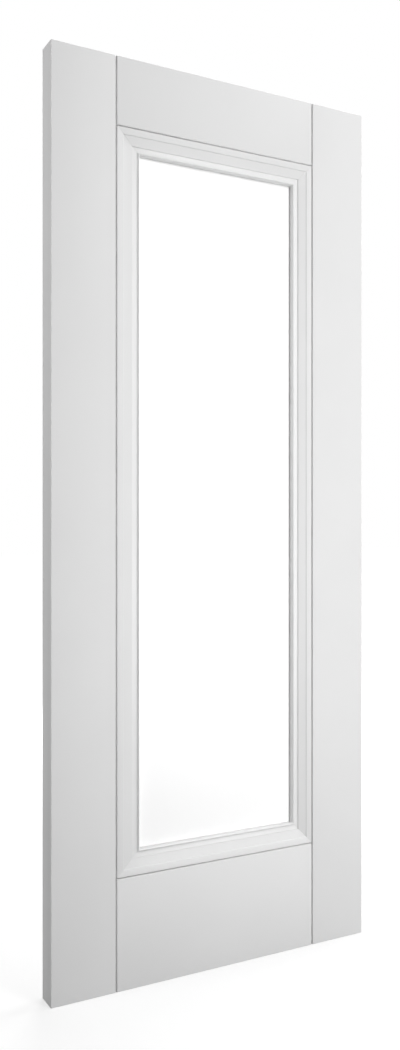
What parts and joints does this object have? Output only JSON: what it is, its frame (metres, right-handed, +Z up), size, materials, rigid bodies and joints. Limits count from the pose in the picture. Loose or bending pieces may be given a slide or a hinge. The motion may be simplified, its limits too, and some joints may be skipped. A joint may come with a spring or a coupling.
{
  "type": "glazed interior door leaf",
  "caption": "White painted stile-and-rail door leaf with V-grooved joints and a tall satin glass light in mitred mouldings.",
  "frame": {"origin": "middle of the hinge edge's flat face, at mid-height and mid-thickness", "axes": "+X across the leaf from the hinge edge to the lock edge, +Y through the leaf from the front face to the back face, +Z up"},
  "size_m": [0.813, 0.054, 2.032],
  "materials": {
    "painted_mdf_facing": "white satin paint on MDF",
    "painted_hardwood_lipping": "white satin paint on hardwood",
    "painted_timber_core": "white satin paint on laminated softwood",
    "painted_moulding": "white satin paint on moulded timber",
    "painted_glazing_bead": "white satin paint on moulded timber",
    "glazing_tape": "pale grey closed-cell foam tape",
    "satin_glass": "acid-etched satin toughened glass",
    "unit_spacer": "light grey warm-edge spacer bar"
  },
  "bodies": {
    "root": {"back_bottom_bead": "painted_glazing_bead", "back_bottom_rail_facing": "painted_mdf_facing", "back_glass_pane": "satin_glass", "back_glazing_tape": "glazing_tape", "back_left_bead": "painted_glazing_bead", "back_left_stile_facing": "painted_mdf_facing", "back_right_bead": "painted_glazing_bead", "back_right_stile_facing": "painted_mdf_facing", "back_top_bead": "painted_glazing_bead", "back_top_rail_facing": "painted_mdf_facing", "bottom_moulding": "painted_moulding", "bottom_rail": "painted_timber_core", "front_bottom_bead": "painted_glazing_bead", "front_bottom_rail_facing": "painted_mdf_facing", "front_glass_pane": "satin_glass", "front_glazing_tape": "glazing_tape", "front_left_bead": "painted_glazing_bead", "front_left_stile_facing": "painted_mdf_facing", "front_right_bead": "painted_glazing_bead", "front_right_stile_facing": "painted_mdf_facing", "front_top_bead": "painted_glazing_bead", "front_top_rail_facing": "painted_mdf_facing", "glass_unit_spacer": "unit_spacer", "hinge_edge_lipping": "painted_hardwood_lipping", "left_moulding": "painted_moulding", "left_stile": "painted_timber_core", "lock_edge_lipping": "painted_hardwood_lipping", "right_moulding": "painted_moulding", "right_stile": "painted_timber_core", "top_moulding": "painted_moulding", "top_rail": "painted_timber_core"}
  },
  "joints": []
}
